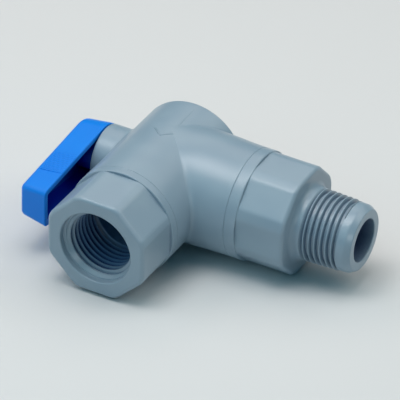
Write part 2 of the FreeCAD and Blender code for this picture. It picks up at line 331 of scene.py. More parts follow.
finishes = {
    "grey_plastic": mouldedPlastic("grey plastic", greyValues),
    "blue_plastic": mouldedPlastic("blue plastic", blueValues),
    "ball_plastic": mouldedPlastic("ball plastic", ballValues),
    "seat_plastic": mouldedPlastic("seat plastic", seatValues),
    "seal_rubber": mouldedPlastic("seal rubber", rubberValues),
    "stainless": mouldedPlastic("stainless steel", steelValues),
}
# copies of the grey that differ only in their painted shade
outletFinish = mouldedPlastic("grey outlet plastic, lighter painted shade", outletValues)
outletBoreShadeFinish = mouldedPlastic("grey outlet bore plastic, darker painted shade", outletBoreShadeValues)
inletBoreShadeFinish = mouldedPlastic("grey inlet bore plastic, painted bore shade", inletBoreShadeValues)
ribFinish = mouldedPlastic("blue rib plastic", ribValues)
slotOf = {part["node"]: part["material_slot"] for part in frame["record"]["subparts"]}
for name, node in frame["nodes"].items():
    for materialSlot in node.material_slots:
        materialSlot.material = finishes[slotOf[name]]
print("materials set")


# Piece helpers: millimetres from the ball's centre until the piece is finished

def toOutlet(along, side, up):
    return Vector((along, side, up))


def toInlet(along, side, up):
    return Vector((side, -along, up))


def toStem(along, side, up):
    return Vector((-along, -side, up))


def ringAt(mesh, place, points):
    return [mesh.verts.new(place(*point)) for point in points]


def joinRings(mesh, rings):
    for low, high in zip(rings, rings[1:]):
        count = len(low)
        for step in range(count):
            after = (step + 1) % count
            mesh.faces.new((low[step], low[after], high[after], high[step]))


def addPoints(mesh, points):
    return [mesh.verts.new(point) for point in points]


def finishPiece(name, mesh, slotName, body, nodes, sharpAngle=38, recalculate=True):
    bmesh.ops.remove_doubles(mesh, verts=mesh.verts, dist=weldGap)
    bmesh.ops.dissolve_degenerate(mesh, edges=mesh.edges, dist=weldGap / 4)
    if recalculate:
        bmesh.ops.recalc_face_normals(mesh, faces=mesh.faces)
    bmesh.ops.transform(mesh, verts=mesh.verts, matrix=Matrix.Translation(ballCentre) @ Matrix.Scale(mm, 4))
    data = bpy.data.meshes.new(name)
    mesh.to_mesh(data)
    mesh.free()
    data.polygons.foreach_set("use_smooth", [True] * len(data.polygons))
    data.polygons.foreach_set("material_index", [0] * len(data.polygons))
    data.set_sharp_from_angle(angle=math.radians(sharpAngle))
    data.materials.append(finishes[slotName])
    piece = bpy.data.objects.new(name, data)
    scene.collection.objects.link(piece)
    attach(piece, body)
    if nodes:
        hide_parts(*nodes)
    print(name, len(data.polygons), "faces")
    return piece


def shadeBore(piece, axis, radius, finish):
    # gives the faces of a passage a copy of the finish with its own painted shade
    piece.data.materials.append(finish)
    for face in piece.data.polygons:
        place = face.center - ballCentre
        place[axis] = 0
        if place.length < radius * mm:
            face.material_index = 1


def endTree(tree, result, geometry, material):
    real = addNode(tree, "GeometryNodeRealizeInstances", {"Geometry": geometry})
    painted = addNode(tree, "GeometryNodeSetMaterial", {"Geometry": real.outputs[0], "Material": material})
    feed(tree, result.inputs[0], painted.outputs[0])
    layOut(tree)
    return tree


def meshFromTree(tree, values):
    # runs a Geometry Nodes tree on an empty mesh and returns what it makes
    holder = bpy.data.objects.new("holder", bpy.data.meshes.new("holder"))
    scene.collection.objects.link(holder)
    modifier = holder.modifiers.new("rule", "NODES")
    modifier.node_group = tree
    for item in tree.interface.items_tree:
        if item.item_type == "SOCKET" and item.in_out == "INPUT" and item.name in values:
            modifier[item.identifier] = values[item.name]
    bpy.context.view_layer.update()
    graph = bpy.context.evaluated_depsgraph_get()
    made = bpy.data.meshes.new_from_object(holder.evaluated_get(graph))
    holder.modifiers.clear()
    bpy.data.objects.remove(holder)
    return made


def addMade(mesh, made, place):
    # adds a mesh drawn along X to the piece, turned the piece's way
    start = len(mesh.verts)
    mesh.from_mesh(made)
    mesh.verts.ensure_lookup_table()
    for vertex in mesh.verts[start:]:
        vertex.co = place(*vertex.co)
    bpy.data.meshes.remove(made)


def arc(radius, fromTurn, toTurn, steps):
    turns = [math.radians(fromTurn + (toTurn - fromTurn) * step / steps) for step in range(steps + 1)]
    return [(radius * math.cos(turn), radius * math.sin(turn)) for turn in turns]


def smooth(share):
    share = min(max(share, 0), 1)
    return share * share * (3 - 2 * share)


def softMax(first, second, blend):
    near = max(blend - abs(first - second), 0)
    return max(first, second) + near * near / (4 * blend)


# Moulded thread, along X in millimetres

def buildThreadTree():
    tree, given, result = newGroup("moulded thread", "GeometryNodeTree", {
        "Pitch": ("Float", 1.814),
        "Start": ("Float", 0.0),
        "End": ("Float", 10.0),
        "Crest Radius": ("Float", 10.0),
        "Root Radius": ("Float", 9.0),
        "Taper": ("Float", 0.03125),
        "Crest Share": ("Float", 0.2),
        "Flank Share": ("Float", 0.5),
        "Fade Length": ("Float", 1.5),
        "Mouth Radius": ("Float", 10.0),
        "Mouth Slope": ("Float", 1.0),
        "Mouth Blend": ("Float", 0.12),
        "Side": ("Float", 1.0),
        "Turns": ("Int", 8),
        "Rows Per Turn": ("Int", 12),
        "Columns": ("Int", 360),
        "Material": ("Material", None),
    }, {"Geometry": "Geometry"})
    take = given.outputs
    rows = calc(tree, "ADD", calc(tree, "MULTIPLY", take["Turns"], take["Rows Per Turn"]), 1.0)
    grid = addNode(tree, "GeometryNodeMeshGrid", {
        "Size X": take["Turns"],
        "Size Y": 1.0,
        "Vertices X": rows,
        "Vertices Y": calc(tree, "ADD", take["Columns"], 1.0),
    })
    spot = addNode(tree, "ShaderNodeSeparateXYZ", {0: addNode(tree, "GeometryNodeInputPosition").outputs[0]})
    rowTurn = calc(tree, "ADD", spot.outputs[0], calc(tree, "MULTIPLY", take["Turns"], 0.5))
    share = calc(tree, "ADD", spot.outputs[1], 0.5)
    turned = calc(tree, "SUBTRACT", calc(tree, "ADD", rowTurn, share), 1.0)
    along = calc(tree, "MULTIPLY_ADD", turned, take["Pitch"], take["Start"])
    along = calc(tree, "MINIMUM", calc(tree, "MAXIMUM", along, take["Start"]), take["End"])
    fromCrest = calc(tree, "ABSOLUTE", calc(tree, "MULTIPLY_ADD", calc(tree, "FRACT", rowTurn), 2.0, -1.0))
    flankEnd = calc(tree, "ADD", take["Crest Share"], take["Flank Share"])
    groove = remap(tree, fromCrest, (take["Crest Share"], flankEnd), (0.0, 1.0), "SMOOTHSTEP")
    travelled = calc(tree, "SUBTRACT", along, take["Start"])
    fade = remap(tree, travelled, (0.0, take["Fade Length"]), (0.0, 1.0), "SMOOTHSTEP")
    depth = calc(tree, "SUBTRACT", take["Root Radius"], take["Crest Radius"])
    radius = calc(tree, "MULTIPLY_ADD", depth, calc(tree, "MULTIPLY", groove, fade), take["Crest Radius"])
    radius = calc(tree, "SUBTRACT", radius, calc(tree, "MULTIPLY", travelled, take["Taper"]))
    toMouth = calc(tree, "SUBTRACT", take["End"], along)
    mouth = calc(tree, "MULTIPLY_ADD", toMouth, take["Mouth Slope"], take["Mouth Radius"])
    nearest = calc(tree, "SMOOTH_MIN", calc(tree, "MULTIPLY", radius, take["Side"]),
                   calc(tree, "MULTIPLY", mouth, take["Side"]), take["Mouth Blend"])
    radius = calc(tree, "MULTIPLY", nearest, take["Side"])
    angle = calc(tree, "MULTIPLY", share, math.tau)
    placed = addNode(tree, "ShaderNodeCombineXYZ", {
        0: along,
        1: calc(tree, "MULTIPLY", radius, calc(tree, "COSINE", angle)),
        2: calc(tree, "MULTIPLY", radius, calc(tree, "SINE", angle)),
    })
    moved = addNode(tree, "GeometryNodeSetPosition", {
        "Geometry": grid.outputs["Mesh"], "Position": placed.outputs[0],
    })
    welded = addNode(tree, "GeometryNodeMergeByDistance", {
        "Geometry": moved.outputs[0], "Distance": 2 * weldGap,
    })
    return endTree(tree, result, welded.outputs[0], take["Material"])


threadTree = buildThreadTree()


def gripRadius(turn, values):
    # radius of the eight-sided grip at one turn, with its corners rounded over
    side = math.tau / values["flatCount"]
    offset = (turn + side / 2) % side - side / 2
    flat = values["flatReach"] / math.cos(offset)
    return -softMax(-flat, -values["landRadius"], values["cornerBlend"])


def turnedRings(mesh, rows, values, place):
    # a row is (along, radius, share of the grip's shape, inset)
    rings = []
    for along, radius, share, inset in rows:
        points = []
        for step in range(values["columns"]):
            turn = math.tau * step / values["columns"]
            reach = radius * (1 - share) + gripRadius(turn, values) * share - inset
            points.append((along, reach * math.cos(turn), reach * math.sin(turn)))
        rings.append(ringAt(mesh, place, points))
    joinRings(mesh, rings)


def plain(points):
    return [(along, radius, 0, 0) for along, radius in points]


def seatEndRows(values):
    # the hidden end that goes into the body: nose, spigot and groove for its seal
    seam = values["seam"]
    tip, nose, spigot = values["noseTip"], values["noseRadius"], values["spigotRadius"]
    ringMiddle = seam - values["ringSetback"]
    half = values["ringSection"] / 2
    floor = spigot - values["ringSection"]
    return plain([
        tip, (values["seatBack"], nose), (values["ledge"], nose), (values["ledge"], spigot),
        (ringMiddle - half, spigot), (ringMiddle - half, floor), (ringMiddle + half, floor),
        (ringMiddle + half, spigot), (seam, spigot),
    ])


def seatPocketRows(values):
    back, groove = values["seatBack"], values["grooveDepth"]
    inner, outer = values["grooveRadii"]
    tip = values["noseTip"]
    return plain([
        (back, values["seatBore"]), (back, inner), (back + groove, inner), (back + groove, outer),
        (back, outer), (back, values["pocketRadius"]), (tip[0], values["pocketRadius"]), tip,
    ])


# from the collar to the flats: distance along the axis and how far the flats have taken over
collarStep = (
    (-0.62, 0.0), (-0.3, 0.0), (-0.2, 0.03), (-0.11, 0.09), (-0.04, 0.19), (-0.01, 0.33),
    (0.0, 0.5), (0.01, 0.8), (0.04, 0.93), (0.1, 0.985), (0.2, 1.0), (0.3, 1.0),
)


def outsideRows(values, end, edge, edgeSteps):
    # bevelled edge at the joint, round band, step down to the flats, then the flats to the rounded end
    seam, radius, soft = values["seam"], values["barrelRadius"], values["seamEdge"]
    start = seam + values["collar"]
    rows = plain([(seam, radius - 2 * soft)])
    rows += plain([(seam + soft - along, radius - soft + up) for along, up in arc(soft, 0, 90, 5)])
    rows += plain([(seam + soft + hold, radius)])
    rows += [(start + along, radius, share, 0) for along, share in collarStep]
    rows += [(along, 0, 1, 0) for along in values["flatRows"]]
    rows += [(end - edge + up, 0, 1, edge - along) for along, up in arc(edge, 0, 90, edgeSteps)]
    return rows


sharedEnd = {
    "flatCount": 8,
    "flatReach": 15.4,
    "cornerBlend": 0.22,
    "seamEdge": 0.2,
    "noseTip": (11.0, 10.75),
    "noseRadius": 11.85,
    "spigotRadius": 13.3,
    "ledge": 13.9,
    "seatBack": 12.1,
    "seatBore": 6.85,
    "pocketRadius": 10.7,
    "grooveRadii": (8.4, 9.6),
    "grooveDepth": 1.2,
    "ringSetback": 3.0,
    "ringSection": 1.6,
    "columns": 360,
}

sharedThread = {"Mouth Blend": 0.12, "Rows Per Turn": 12, "Columns": 360}

inletConnector = {
    **sharedEnd,
    "seam": 24.6,
    "barrelRadius": 16.5,
    "collar": 2.6,
    "flatRows": (29.5, 33, 37, 40.8),
    "landRadius": 16.25,
    "faceEdge": 1.25,
    "mouthRadius": 11.2,
    "mouthDepth": 2.0,
    "mouthEdge": 0.4,
    "floorEdge": ((0.3, 0), (0.08, 0.06), (0, 0.2)),
    "pilotRadius": 9.6,
    "pilotRows": (20.0, 16.0),
    "runOut": 0.25,
    "thread": {
        **sharedThread,
        "Pitch": 1.814,
        "Start": 24.59,
        "End": 40.2,
        "Crest Radius": 9.25,
        "Root Radius": 10.5,
        "Taper": 0.0,
        "Crest Share": 0.16,
        "Flank Share": 0.42,
        "Fade Length": 1.6,
        "Mouth Radius": 10.85,
        "Mouth Slope": -1.0,
        "Side": -1.0,
        "Turns": 10,
    },
}


def buildInletConnector(values):
    mesh = bmesh.new()
    reach = ballCentre.y / mm - inletLow.y / mm
    thread = values["thread"]
    edge = values["faceEdge"]
    rim = values["mouthEdge"]
    wall = values["mouthRadius"]
    floor = reach - values["mouthDepth"]
    outside = seatEndRows(values) + outsideRows(values, reach, edge, 7)
    outside += [(reach, 0, 1, edge + 0.12), (reach, wall + 2 * rim, 0.4, 0)]
    mouth = [(reach, wall + rim + hold)]
    mouth += [(reach - rim + up, wall + rim - along) for along, up in arc(rim, 90, 0, 4)]
    mouth += [(reach - rim - hold, wall)]
    mouth += [(floor + up, wall - inward) for up, inward in values["floorEdge"]]
    mouth += [(floor, thread["Mouth Radius"])]
    turnedRings(mesh, outside + plain(mouth), values, toInlet)
    start = thread["Start"]
    crest = thread["Crest Radius"]
    pilot = values["pilotRadius"]
    narrow = values["seatBore"]
    runOut = values["runOut"]
    pilotRows = (start - 2 * runOut, start - 2 * runOut - 2 * hold, *values["pilotRows"])
    inside = [(start, crest), (start - runOut, crest)]
    inside += [(along, pilot) for along in pilotRows]
    inside += [(pilotRows[-1] - (pilot - narrow), narrow)]  # tapers at 45 degrees to the seat's bore
    turnedRings(mesh, plain(inside) + seatPocketRows(values), values, toInlet)
    made = meshFromTree(threadTree, {**thread, "Material": finishes["grey_plastic"]})
    addMade(mesh, made, toInlet)
    piece = finishPiece("inlet_end", mesh, "grey_plastic", "valve", ["inlet_connector"])
    shadeBore(piece, 1, thread["Root Radius"] + 0.1, inletBoreShadeFinish)


buildInletConnector(inletConnector)

outletConnector = {
    **sharedEnd,
    "seam": 26.4,
    "barrelRadius": 16.3,
    "collar": 3.4,
    "shoulder": 44.5,
    "flatRows": (32, 36, 40, 43.2),
    "landRadius": 16.05,
    "shoulderEdge": 1.1,
    "neckRadius": 10.75,
    "neckFillet": 1.6,
    "leadEdge": ((60.1, 10.06), (60.6, 10.01), (61.0, 9.89)),
    "endRadius": 9.2,
    "endEdge": 0.45,
    "boreRadius": 6.45,
    "boreEdge": 0.25,
    "boreRows": (50, 40, 30, 20, 14.5),
    "thread": {
        **sharedThread,
        "Pitch": 1.72,
        "Start": 46.7,
        "End": 58.3,
        "Crest Radius": 10.7,
        "Root Radius": 9.5,
        "Taper": 0.03125,
        "Crest Share": 0.2,
        "Flank Share": 0.34,
        "Fade Length": 1.4,
        "Mouth Radius": 10.1,
        "Mouth Slope": 0.35,
        "Side": 1.0,
        "Turns": 9,
    },
}


def buildOutletConnector(values):
    mesh = bmesh.new()
    thread = values["thread"]
    reach = outletHigh.x / mm
    shoulder = values["shoulder"]
    edge = values["shoulderEdge"]
    fillet = values["neckFillet"]
    neck = values["neckRadius"]
    outside = seatEndRows(values) + outsideRows(values, shoulder, edge, 9)
    outside += [(shoulder, 0, 1, edge + 0.15), (shoulder, neck + fillet + 0.6, 0.3, 0)]
    outside += plain([(shoulder, neck + fillet + 0.15)])
    outside += plain([(shoulder + fillet - along, neck + fillet - up) for along, up in arc(fillet, 0, 90, 8)])
    outside += plain([(thread["Start"] - 0.2, neck), (thread["Start"], thread["Crest Radius"])])
    turnedRings(mesh, outside, values, toOutlet)
    end = values["endRadius"]
    soft = values["endEdge"]
    bore = values["boreRadius"]
    chamfer = values["boreEdge"]
    lead = [(thread["End"], thread["Mouth Radius"]), (thread["End"] + 0.3, thread["Mouth Radius"])]
    lead += [*values["leadEdge"], (reach - soft - hold, end + hold)]
    lead += [(reach - soft + up, end - soft + along) for along, up in arc(soft, 15, 90, 5)]
    lead += [(reach, end - soft - 0.15), (reach, bore + chamfer + hold)]
    lead += [(reach - chamfer + up, bore + chamfer - along) for along, up in arc(chamfer, 90, 0, 4)]
    lead += [(along, bore) for along in (reach - chamfer - hold, *values["boreRows"])]
    lead += [(values["boreRows"][-1], values["seatBore"])]
    turnedRings(mesh, plain(lead) + seatPocketRows(values), values, toOutlet)
    made = meshFromTree(threadTree, {**thread, "Material": finishes["grey_plastic"]})
    addMade(mesh, made, toOutlet)
    piece = finishPiece("outlet_end", mesh, "grey_plastic", "valve", ["outlet_connector"])
    # the outlet takes the copy of the grey with lighter painted shade in its grooves
    piece.data.materials[0] = outletFinish
    shadeBore(piece, 0, bore + chamfer / 2, outletBoreShadeFinish)


buildOutletConnector(outletConnector)


# Body: both barrels as one skin with a soft valley between them, and the boss growing out of the side

valveBody = {
    "barrelRadius": 16.5,
    "inletSeam": 24.6,
    "outletSeam": 26.4,
    "outletRadius": 16.3,
    "swellReach": 10.0,
    "swell": 0.35,
    "rearReach": 14.5,
    "seamEdge": 0.2,
    "rearEdge": 0.4,
    "boreRadius": 13.4,
    "valley": 1.15,
    "rearBlend": 0.8,
    "rearLift": 3.0,
    "bossRadius": 9.25,
    "bossReach": 20.8,
    "bossEdge": 0.25,
    "bossFillet": 0.9,
    "bossRing": 7.0,
    "stemBore": 5.0,
    "stopRadii": (5.9, 6.9),
    "stopHeight": 2.0,
    "stopWidth": 26.0,
    "stopMiddles": (153.03, 296.97),
    "columns": 96,
    "rows": {"wall": 26, "valley": 10, "outlet": 26, "rear": 44, "rearWall": 14, "side": 18, "fillet": 8},
    "sideBias": 0.8,
}


def outletRadiusAt(values, along):
    widest = values["barrelRadius"] + values["swell"]
    if along < values["swellReach"]:
        return values["barrelRadius"] + values["swell"] * smooth(along / values["swellReach"])
    end = values["outletSeam"] - values["seamEdge"]
    share = (along - values["swellReach"]) / (end - values["swellReach"])
    return widest + (values["outletRadius"] - widest) * smooth(share)


def pastValley(values, turn, valley, side):
    # round the valley between the barrels; side is -1 on the inlet's side and 1 at the rear
    rows, barrel = values["rows"]["valley"], values["barrelRadius"]
    across, up = math.cos(turn), math.sin(turn)
    wall = barrel * across
    deep = outletRadiusAt(values, wall) * across
    points = []
    for step in range(1, rows + 1):
        share = step / rows
        bend = share * math.pi / 2
        along = wall + valley * (1 - math.cos(bend))
        reach = barrel + (outletRadiusAt(values, along) - barrel) * smooth(share)
        points.append((along, side * (deep + valley * (1 - math.sin(bend))), reach * up))
    return points


def alongOutlet(values, turn, valley, side):
    rows = values["rows"]["outlet"]
    across, up = math.cos(turn), math.sin(turn)
    first = values["barrelRadius"] * across + valley
    end = values["outletSeam"] - values["seamEdge"]
    points = []
    for step in range(1, rows + 1):
        along = first + (end - first) * step / rows
        reach = outletRadiusAt(values, along)
        points.append((along, side * reach * across, reach * up))
    return points


def frontPath(values, turn):
    # from the inlet's joint along its barrel, round the valley and along the outlet's barrel
    barrel, rows = values["barrelRadius"], values["rows"]["wall"]
    across, up = math.cos(turn), math.sin(turn)
    wall = barrel * across
    valley = values["valley"] * (1 - abs(up) ** 8)
    start = -(values["inletSeam"] - values["seamEdge"])
    end = -outletRadiusAt(values, wall) * across - valley
    points = [(wall, start + (end - start) * step / rows, barrel * up) for step in range(rows + 1)]
    return points + pastValley(values, turn, valley, -1) + alongOutlet(values, turn, valley, -1)


def rearPath(values, turn):
    # from the barrel's left side over the closed end, then down the right side and along the outlet
    barrel, rows = values["barrelRadius"], values["rows"]
    across, up = math.cos(turn), math.sin(turn)
    rear, edge = values["rearReach"], values["rearEdge"]
    flat = barrel - edge
    height = flat * up
    points = []
    for out, rise in arc(edge, 0, 90, 4):
        points.append((-(flat + out) * across, rear - edge + rise, (flat + out) * up))
    for step in range(1, rows["rear"]):
        along = flat * across * (2 * step / rows["rear"] - 1)
        radius = barrel if along < 0 else outletRadiusAt(values, along)
        under = along ** 2 + height ** 2 if along < 0 else height ** 2
        dome = math.sqrt(max(radius ** 2 - under, 0))
        points.append((along, softMax(rear, dome, values["rearBlend"]), height))
    wall = barrel * across
    deep = outletRadiusAt(values, wall) * across
    valley = min(values["valley"] * (1 - abs(up) ** 8), max(rear - edge - deep, 0))
    low = min(deep + valley, rear - edge)
    rest = []
    for out, rise in arc(edge, 90, 0, 4):
        rest.append(((flat + out) * across, rear - edge + rise, (flat + out) * up))
    for step in range(1, rows["rearWall"] + 1):
        rest.append((wall, rear - edge + (low - rear + edge) * step / rows["rearWall"], barrel * up))
    for along, out, height in rest + pastValley(values, turn, valley, 1):
        outlet = math.sqrt(max(outletRadiusAt(values, along) ** 2 - height ** 2, 0))
        points.append((along, max(out, min(outlet, out + values["rearLift"])), height))
    return points + alongOutlet(values, turn, valley, 1)


def joinStrips(mesh, strips):
    for left, right in zip(strips, strips[1:]):
        for step in range(len(left) - 1):
            corners = (left[step], left[step + 1], right[step + 1], right[step])
            mesh.faces.new(corners)


def bossSide(mesh, values, turns, wallRows, rearRows):
    # the barrel's left side as rings that run from its four borders in to the boss
    barrel = values["barrelRadius"]
    start, end = -(values["inletSeam"] - values["seamEdge"]), values["rearReach"] - values["rearEdge"]
    quarter = math.pi / 2
    border = [(start, turn) for turn in turns]
    border += [(start - start * step / wallRows, quarter) for step in range(1, wallRows + 1)]
    border += [(end * step / rearRows, quarter) for step in range(1, rearRows + 1)]
    border += [(end, turn) for turn in reversed(turns[:-1])]
    border += [(end - end * step / rearRows, -quarter) for step in range(1, rearRows + 1)]
    border += [(start * step / wallRows, -quarter) for step in range(1, wallRows)]
    boss, fillet = values["bossRadius"], values["bossFillet"]
    guide = [math.atan2(barrel * turn, out) for out, turn in border]

    def onBarrel(out, turn):
        return (-barrel * math.cos(turn), out, barrel * math.sin(turn))

    def bossSpot(radius, around):
        return radius * math.cos(around), math.asin(radius * math.sin(around) / barrel)

    rings = []
    count = values["rows"]["side"]
    for step in range(count + 1):
        share = (step / count) ** values["sideBias"]
        ring = []
        for (out, turn), around in zip(border, guide):
            inner = bossSpot(boss + fillet, around)
            ring.append(onBarrel(out + (inner[0] - out) * share, turn + (inner[1] - turn) * share))
        rings.append(ring)
    reach, edge = values["bossReach"], values["bossEdge"]
    count = values["rows"]["fillet"]
    for step in range(1, count + 1):
        share = step / count
        ring = []
        for around in guide:
            far = Vector(onBarrel(*bossSpot(boss + fillet, around)))
            corner = Vector(onBarrel(*bossSpot(boss, around)))
            near = corner - Vector((fillet, 0, 0))
            ring.append(far.lerp(corner, share).lerp(corner.lerp(near, share), share))
        rings.append(ring)
    top = [Vector(point) for point in rings[-1]]
    for share in (0.1, 0.5, 0.9):
        rings.append([(spot.x + (edge - reach - spot.x) * share, spot.y, spot.z) for spot in top])
    for out, rise in arc(edge, 0, 90, 5):
        radius = boss - edge + out
        along = edge - reach - rise
        rings.append([(along, radius * math.cos(around), radius * math.sin(around)) for around in guide])
    for radius in (boss - edge - 0.15, values["bossRing"], values["stemBore"]):
        rings.append([(-reach, radius * math.cos(around), radius * math.sin(around)) for around in guide])
    joinRings(mesh, [addPoints(mesh, ring) for ring in rings])


def jointRings(mesh, values, seam, radius, place):
    # bevelled edge at a joint and the flat face that the connector seats on
    edge = values["seamEdge"]
    half = values["columns"]
    steps = [(seam - edge + rise, radius - edge + out) for out, rise in arc(edge, 0, 90, 5)]
    steps += [(seam, radius - 2 * edge), (seam, values["boreRadius"])]
    turns = [math.pi * step / half for step in range(2 * half)]
    rings = []
    for along, reach in steps:
        ring = [(along, reach * math.cos(turn), reach * math.sin(turn)) for turn in turns]
        rings.append(ringAt(mesh, place, ring))
    joinRings(mesh, rings)


# the bores' radii and where they start and end, a little outside their walls
boreReach = {
    "inlet": (13.45, -24.55, 14.2),
    "outlet": (13.45, 0, 26.35),
    "flange": (6.95, -15.25, 0),
    "stem": (5.02, -30, 0),
}


def bodyInside(reach):
    # the bores and the chamber, taken from a copy of the solid
    inside = bmesh.new()
    inside.from_mesh(frame["nodes"]["valve_body"].data)
    bmesh.ops.transform(inside, verts=inside.verts,
                        matrix=Matrix.Scale(1 / mm, 4) @ Matrix.Translation(-ballCentre))
    bmesh.ops.remove_doubles(inside, verts=inside.verts, dist=weldGap / 2)
    outer = []
    for face in inside.faces:
        spot = face.calc_center_median()
        for bore, (radius, start, end) in reach.items():
            along, side = (spot.y, spot.x) if bore == "inlet" else (spot.x, spot.y)
            if math.hypot(side, spot.z) < radius and start < along < end:
                break
        else:
            outer.append(face)
    bmesh.ops.delete(inside, geom=outer, context="FACES")
    data = bpy.data.meshes.new("inside")
    inside.to_mesh(data)
    inside.free()
    return data


def addSector(mesh, place, radii, heights, middle, width, edge=0.12, steps=10):
    # block that is part of a ring about X, with its free end bevelled
    rings = []
    low, high = heights
    bevelled = high - math.copysign(edge, high - low)
    for along, trim in ((low, 0), (bevelled, 0), (high, edge)):
        ring = []
        for radius, order in ((radii[0] + trim, 1), (radii[1] - trim, -1)):
            half = math.radians(width) / 2 - trim / radius
            for step in range(steps + 1):
                turn = math.radians(middle) + order * half * (2 * step / steps - 1)
                ring.append((along, radius * math.cos(turn), radius * math.sin(turn)))
        rings.append(ringAt(mesh, place, ring))
    joinRings(mesh, rings)
    mesh.faces.new(rings[0])
    mesh.faces.new(rings[-1])


mouldMark = {
    "point": ((-4.25, -1.5), (-0.66, -5.04), (2.65, -1.9)),
    "pointHeight": 0.16,
    "side": ((1.55, 0.4), (1.4, 10.9)),
    "sideHeight": 0.07,
    "width": 0.5,
    "profile": ((-0.5, -0.1), (-0.15, 0.5), (0.15, 0.95), (0.3, 1), (0.5, -0.1), (0, -1)),
    "fadeShare": 0.12,
    "steps": 16,
}


def addMouldLine(mesh, values, radius, ends, height):
    # a low edge along the barrel, straight from above and steep on its right
    start, end = (Vector(point) for point in ends)
    across = (start - end).normalized().orthogonal() * values["width"]
    rings = []
    for step in range(values["steps"] + 1):
        share = step / values["steps"]
        fade = min(1.0, (1 - share) / values["fadeShare"])
        ring = []
        for offset, lift in values["profile"]:
            point = start.lerp(end, share) + across * offset
            level = math.sqrt(radius ** 2 - point.x ** 2) + lift * height * (fade if lift > 0 else 1)
            ring.append((point.x, point.y, level))
        rings.append(addPoints(mesh, ring))
    joinRings(mesh, rings)
    mesh.faces.new(rings[0][::-1])
    mesh.faces.new(rings[-1])


def addMouldMark(mesh, values, radius):
    left, middle, right = values["point"]
    addMouldLine(mesh, values, radius, (left, middle), values["pointHeight"])
    addMouldLine(mesh, values, radius, (middle, right), values["pointHeight"])
    addMouldLine(mesh, values, radius, values["side"], values["sideHeight"])


def buildBody(values):
    mesh = bmesh.new()
    half = values["columns"]
    rows = values["rows"]
    turns = [-math.pi / 2 + math.pi * step / half for step in range(half + 1)]
    for path in (frontPath, rearPath):
        joinStrips(mesh, [addPoints(mesh, path(values, turn)) for turn in turns])
    bossSide(mesh, values, turns, rows["wall"], rows["rearWall"])
    jointRings(mesh, values, values["inletSeam"], values["barrelRadius"], toInlet)
    jointRings(mesh, values, values["outletSeam"], values["outletRadius"], toOutlet)
    bmesh.ops.remove_doubles(mesh, verts=mesh.verts, dist=weldGap)
    bmesh.ops.recalc_face_normals(mesh, faces=mesh.faces)
    for middle in values["stopMiddles"]:
        start = len(mesh.faces)
        heights = (values["bossReach"] - 0.01, values["bossReach"] + values["stopHeight"])
        addSector(mesh, toStem, values["stopRadii"], heights, middle, values["stopWidth"])
        mesh.faces.ensure_lookup_table()
        bmesh.ops.recalc_face_normals(mesh, faces=mesh.faces[start:])
    addMouldMark(mesh, mouldMark, values["barrelRadius"])
    inside = bodyInside(boreReach)
    mesh.from_mesh(inside)
    bpy.data.meshes.remove(inside)
    finishPiece("body", mesh, "grey_plastic", "valve", ["valve_body"], recalculate=False)


buildBody(valveBody)


# Lever: one skin made of loops that follow its outline, from the socket out and back in

lever = {
    "rim": 21.3,
    "outer": 30.0,
    "headRadius": 8.2,
    "tip": 32.4,
    "half": 5.05,
    "flare": 1.05,
    "corner": 1.5,
    "innerCorner": 0.5,
    "wall": 1.8,
    "roof": 2.0,
    "outerEdge": 1.15,
    "edgeLean": 0.12,
    "rimEdge": 0.38,
    "smallEdge": 0.3,
    "hubRadius": 5.6,
    "hubEnd": 21.9,
    "socketHalf": 3.25,
    "socketEnd": 25.2,
    "recessRadius": 4.6,
    "recessDepth": 3.4,
    "recessEdge": ((0.25, 0), (0.06, 0.06), (0, 0.25)),
    "holeRadius": 2.05,
    "holeSink": 0.02,
    "stopWidth": 26.0,
    "stopEnd": 21.5,
    "stopSink": 0.1,
    "counts": {"head": 72, "side": 26, "corner": 8, "end": 12},
}


def cornerPoints(before, corner, after, reach, count):
    # arc tangent to both sides, starting and ending at one distance from the corner
    start = corner + (before - corner).normalized() * reach
    end = corner + (after - corner).normalized() * reach
    half = (before - corner).angle(after - corner) / 2
    radius = reach * math.tan(half)
    centre = corner + ((start + end) / 2 - corner).normalized() * reach / math.cos(half)
    first = start - centre
    last = end - centre
    sweep = first.angle_signed(last)
    points = []
    for step in range(count + 1):
        turned = first.copy()
        turned.rotate(Matrix.Rotation(-sweep * step / count, 2))
        points.append(centre + turned.normalized() * radius)
    return points


def leverOutline(values, along, inset):
    flare = values["flare"] * (values["outer"] - along) / (values["outer"] - values["rim"]) - inset
    head = values["headRadius"] + flare
    corner = Vector((values["tip"] + flare, values["half"] + flare))
    turn = math.atan2(corner.y, corner.x) + math.acos(head / corner.length)
    touch = Vector((head * math.cos(turn), head * math.sin(turn)))
    mirrored = Vector((corner.x, -corner.y))
    counts = values["counts"]
    rounding = max(values["corner"] - inset, values["innerCorner"])
    bend = cornerPoints(touch, corner, mirrored, rounding, counts["corner"])
    half = [touch.lerp(bend[0], step / counts["side"]) for step in range(counts["side"])]
    half += bend
    half += [bend[-1].lerp(Vector((bend[-1].x, 0)), step / counts["end"]) for step in range(1, counts["end"])]
    middle = Vector((corner.x, 0))
    lower = [Vector((point.x, -point.y)) for point in reversed(half)]
    sweep = math.tau - 2 * turn
    turns = [turn + sweep * step / counts["head"] for step in range(counts["head"] - 1, 0, -1)]
    headSide = [Vector((head * math.cos(turn), head * math.sin(turn))) for turn in turns]
    return half + [middle] + lower + headSide


